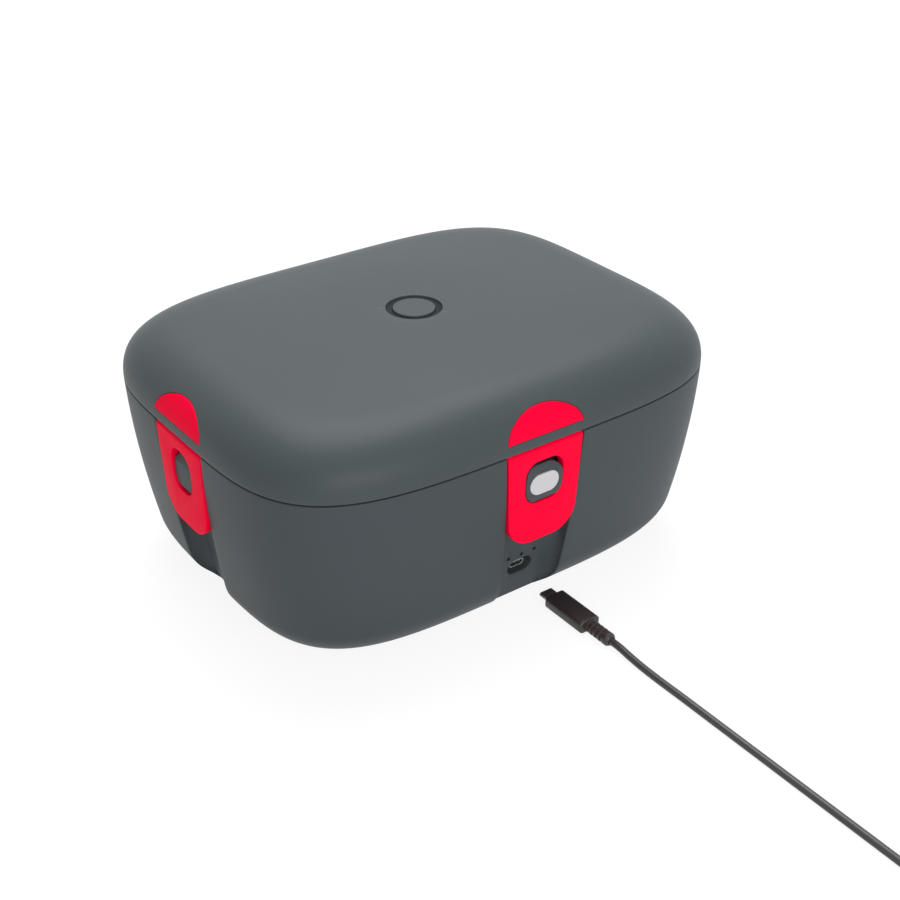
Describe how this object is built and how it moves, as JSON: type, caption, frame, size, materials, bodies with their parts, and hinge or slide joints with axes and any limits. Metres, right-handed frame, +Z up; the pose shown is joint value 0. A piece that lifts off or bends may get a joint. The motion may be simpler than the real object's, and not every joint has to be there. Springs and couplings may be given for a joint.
{
  "type": "electric lunch box",
  "caption": "Rounded heated lunch box with a lift-off lid held by swinging strap latches, a push button in a ring on top, a charging port in the front channel and a loose charging lead.",
  "frame": {"origin": "on the ground, under the middle of the box", "axes": "+Z up; +X along the long side; the front with the charging port faces -Y"},
  "size_m": [0.2748, 0.5446, 0.1314],
  "materials": {
    "shell": "moulded slate grey, fine satin grain",
    "lid": "moulded slate grey, fine satin grain",
    "inner_plastic": "dark grey moulded plastic",
    "liner": "pale grey food-safe plastic",
    "red_soft": "satin red soft-touch rubber",
    "cap_soft": "soft slate grey rubber",
    "pill": "pale satin inlay",
    "black_rubber": "black rubber",
    "black_plastic": "black plastic",
    "ring": "dark smoked light ring",
    "button": "satin grey button",
    "steel": "brushed stainless steel",
    "screw_steel": "plain steel",
    "well_metal": "pressed aluminium",
    "heater": "film heater, amber",
    "insulation": "pressed fibre insulation",
    "cell": "sleeved battery cell",
    "board": "green circuit board",
    "parts": "black board parts",
    "lights": "dark indicator lenses, unlit",
    "gold": "gold plated contact",
    "cord": "black soft jacket",
    "plug_metal": "dark plated plug shell"
  },
  "bodies": {
    "base": {"outer_shell": "shell", "base_plate": "inner_plastic", "foot_1": "black_rubber", "foot_2": "black_rubber", "foot_3": "black_rubber", "foot_4": "black_rubber", "base_screws": "screw_steel", "collar": "inner_plastic", "heating_well": "well_metal", "heater_plate": "heater", "insulation_jacket": "insulation", "temperature_sensor": "liner", "thermal_fuse": "screw_steel", "battery_holder": "black_plastic", "battery_cell_1": "cell", "battery_cell_2": "cell", "battery_cell_3": "cell", "battery_cell_4": "cell", "control_board": "board", "board_parts": "parts", "usb_socket": "steel", "indicator_lights": "lights", "inner_dish": "steel", "knob_cap_front": "cap_soft", "knob_cap_right": "cap_soft", "knob_cap_back": "cap_soft", "knob_cap_left": "cap_soft", "pill_inlay": "pill", "contact_pins": "gold", "plug_shell": "plug_metal", "plug_grip": "cord", "charging_lead": "cord", "charging_lead_coil": "cord", "lead_tie": "red_soft", "far_plug_shell": "steel", "far_plug_grip": "cord"},
    "lid": {"lid_shell": "lid", "lid_liner": "liner", "lid_gasket": "black_rubber", "lid_screws": "screw_steel", "light_ring": "ring", "button_spring": "screw_steel", "button_board": "board", "button_switch": "parts", "button_tower": "black_plastic", "contact_pads": "gold", "strap_pin_front": "screw_steel", "strap_pin_right": "screw_steel", "strap_pin_back": "screw_steel", "strap_pin_left": "screw_steel", "moon_cover_front": "red_soft", "moon_cover_right": "red_soft", "moon_cover_back": "red_soft", "moon_cover_left": "red_soft"},
    "strap_front": {"strap_front": "red_soft"},
    "strap_right": {"strap_right": "red_soft"},
    "strap_back": {"strap_back": "red_soft"},
    "strap_left": {"strap_left": "red_soft"},
    "button": {"button_cap": "button"}
  },
  "joints": [
    {"name": "lid_lift", "type": "slide", "parent": "base", "child": "lid", "axis": [0, 0, 1], "range_m": [0, 0.12], "deforming": ["knob_cap_front", "knob_cap_right", "knob_cap_back", "knob_cap_left", "pill_inlay"]},
    {"name": "strap_front_swing", "type": "hinge", "parent": "lid", "child": "strap_front", "pos_m": [0, -0.1058, 0.0983], "axis": [-1, 0, 0], "range_deg": [0, 90]},
    {"name": "strap_right_swing", "type": "hinge", "parent": "lid", "child": "strap_right", "pos_m": [0.1346, 0, 0.0983], "axis": [0, -1, 0], "range_deg": [0, 90]},
    {"name": "strap_back_swing", "type": "hinge", "parent": "lid", "child": "strap_back", "pos_m": [0, 0.1058, 0.0983], "axis": [1, 0, 0], "range_deg": [0, 90]},
    {"name": "strap_left_swing", "type": "hinge", "parent": "lid", "child": "strap_left", "pos_m": [-0.1346, 0, 0.0983], "axis": [0, 1, 0], "range_deg": [0, 90]},
    {"name": "button_press", "type": "slide", "parent": "lid", "child": "button", "axis": [0, 0, -1], "range_m": [0, 0.001], "stiffness_N_per_m": 600, "springref_m": -0.002, "deforming": ["button_spring"]}
  ]
}
